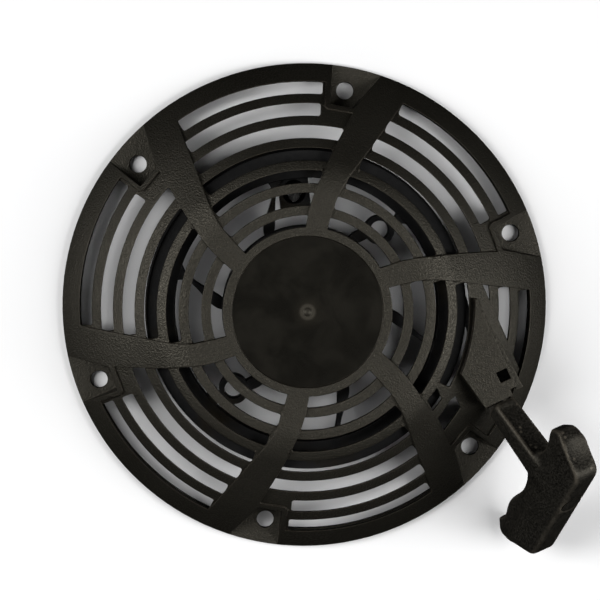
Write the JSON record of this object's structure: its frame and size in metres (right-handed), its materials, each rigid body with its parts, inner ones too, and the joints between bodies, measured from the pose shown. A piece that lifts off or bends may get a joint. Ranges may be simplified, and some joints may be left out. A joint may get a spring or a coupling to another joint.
{
  "type": "recoil starter",
  "caption": "Round vented pull-rope recoil starter: domed louvred cover with curved arms, sprung spoked rope pulley with pawls, and T-handle.",
  "frame": {"origin": "on the pulley's axis, in the plane of the cover's mounting flange", "axes": "+Z away from the engine through the cover's hub; the rope leaves towards +X -Y"},
  "size_m": [0.2273, 0.2139, 0.0716],
  "materials": {
    "cover_plastic": "moulded black nylon, fine spark texture",
    "guide_plastic": "smooth black acetal",
    "brass_insert": "knurled brass",
    "zinc_steel": "zinc plated",
    "spring_steel": "oiled spring steel",
    "pulley_plastic": "moulded black nylon",
    "rope_fibre": "braided black nylon",
    "pawl_steel": "pressed steel",
    "handle_rubber": "moulded black plastic, satin"
  },
  "bodies": {
    "cover": {"housing": "cover_plastic", "rope_guide": "guide_plastic", "screw_insert": "brass_insert", "center_screw": "zinc_steel", "center_washer": "zinc_steel", "friction_spring": "spring_steel"},
    "pulley_assembly": {"pulley": "pulley_plastic", "pulley_knot": "rope_fibre", "rope_coil": "rope_fibre", "rewind_spring": "spring_steel", "spring_cover": "zinc_steel", "pawl_pin_1": "zinc_steel", "pawl_pin_2": "zinc_steel", "pawl_spring_1": "spring_steel", "pawl_spring_2": "spring_steel"},
    "drive_pawl_1": {"pawl_1": "pawl_steel"},
    "drive_pawl_2": {"pawl_2": "pawl_steel"},
    "brake_plate": {"friction_plate": "zinc_steel"},
    "rope_end": {"rope_run": "rope_fibre", "grip_knot": "rope_fibre", "knot_washer": "zinc_steel"},
    "handle": {"handle_grip": "handle_rubber", "grip_cap": "handle_rubber"}
  },
  "joints": [
    {"name": "pulley_spin", "type": "hinge", "parent": "cover", "child": "pulley_assembly", "pos_m": [0, 0, 0.022], "axis": [0, 0, -1], "range_deg": [0, 1260], "stiffness_Nm_per_rad": 0.012, "springref_deg": -687.55, "deforming": ["rewind_spring"]},
    {"name": "plate_turn", "type": "hinge", "parent": "pulley_assembly", "child": "brake_plate", "pos_m": [0, 0, 0.01], "axis": [0, 0, 1], "range_deg": [0, 30]},
    {"name": "pawl_swing_1", "type": "hinge", "parent": "pulley_assembly", "child": "drive_pawl_1", "pos_m": [0.012, 0.02079, 0.0133], "axis": [0, 0, 1], "range_deg": [0, 30], "stiffness_Nm_per_rad": 0.0006, "springref_deg": -34.38},
    {"name": "pawl_swing_2", "type": "hinge", "parent": "pulley_assembly", "child": "drive_pawl_2", "pos_m": [-0.012, -0.02079, 0.0133], "axis": [0, 0, 1], "range_deg": [0, 30], "stiffness_Nm_per_rad": 0.0006, "springref_deg": -34.38},
    {"name": "rope_pull", "type": "slide", "parent": "cover", "child": "rope_end", "axis": [0.5039, -0.725, 0.4695], "range_m": [0, 1.42], "deforming": ["rope_run"]},
    {"name": "handle_twist", "type": "hinge", "parent": "rope_end", "child": "handle", "pos_m": [0.0841, -0.04153, 0.02645], "axis": [0.5039, -0.725, 0.4695], "range_deg": [-116, 0]}
  ],
  "couplings": [
    {"joint": "rope_pull", "follows": "pulley_spin", "m_per_rad": 0.0638},
    {"joint": "pawl_swing_1", "follows": "plate_turn", "ratio": 1},
    {"joint": "pawl_swing_2", "follows": "plate_turn", "ratio": 1}
  ]
}
